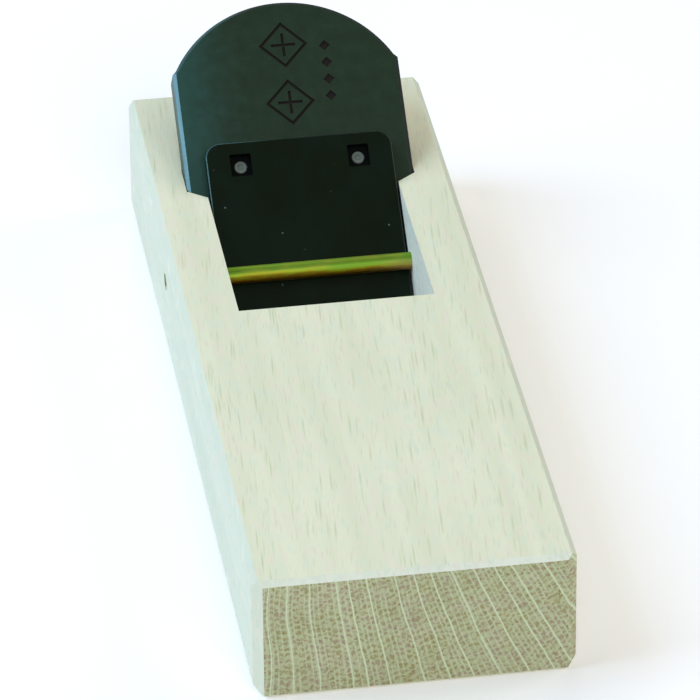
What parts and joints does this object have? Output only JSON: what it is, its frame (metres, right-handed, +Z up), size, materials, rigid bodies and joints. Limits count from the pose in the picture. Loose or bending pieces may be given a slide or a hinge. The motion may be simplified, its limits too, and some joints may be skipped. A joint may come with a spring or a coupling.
{
  "type": "hand plane",
  "caption": "Wooden pull plane: an oak block with a sloping throat, a leaning laminated blade, a chipbreaker on it and a steel cross pin.",
  "frame": {"origin": "middle of the sole, the flat underside of the block", "axes": "+Z up out of the block's top, +Y along the block towards the end that the blade's head leans over, +X to the right seen from the front end"},
  "size_m": [0.076, 0.23, 0.0625],
  "materials": {
    "oak": "bare planed white oak",
    "plated_pin": "yellow chromate plated steel rod",
    "black_iron": "black forge scale, satin",
    "edge_steel": "ground and honed",
    "black_plate": "black oxide, satin",
    "lip_steel": "ground and honed",
    "ear_pins": "dull turned steel"
  },
  "bodies": {
    "body": {"body_block": "oak", "cross_pin": "plated_pin"},
    "blade": {"blade_iron": "black_iron", "blade_steel": "edge_steel"},
    "chipbreaker": {"chipbreaker_plate": "black_plate", "chipbreaker_lip": "lip_steel", "ear_pin_left": "ear_pins", "ear_pin_right": "ear_pins"}
  },
  "joints": [
    {"name": "blade_slide", "type": "slide", "parent": "body", "child": "blade", "axis": [0, 0.7809, 0.6247], "range_m": [-0.001, 0.046]},
    {"name": "chipbreaker_slide", "type": "slide", "parent": "blade", "child": "chipbreaker", "axis": [0, 0.7809, 0.6247], "range_m": [-0.0005, 0.05]}
  ]
}
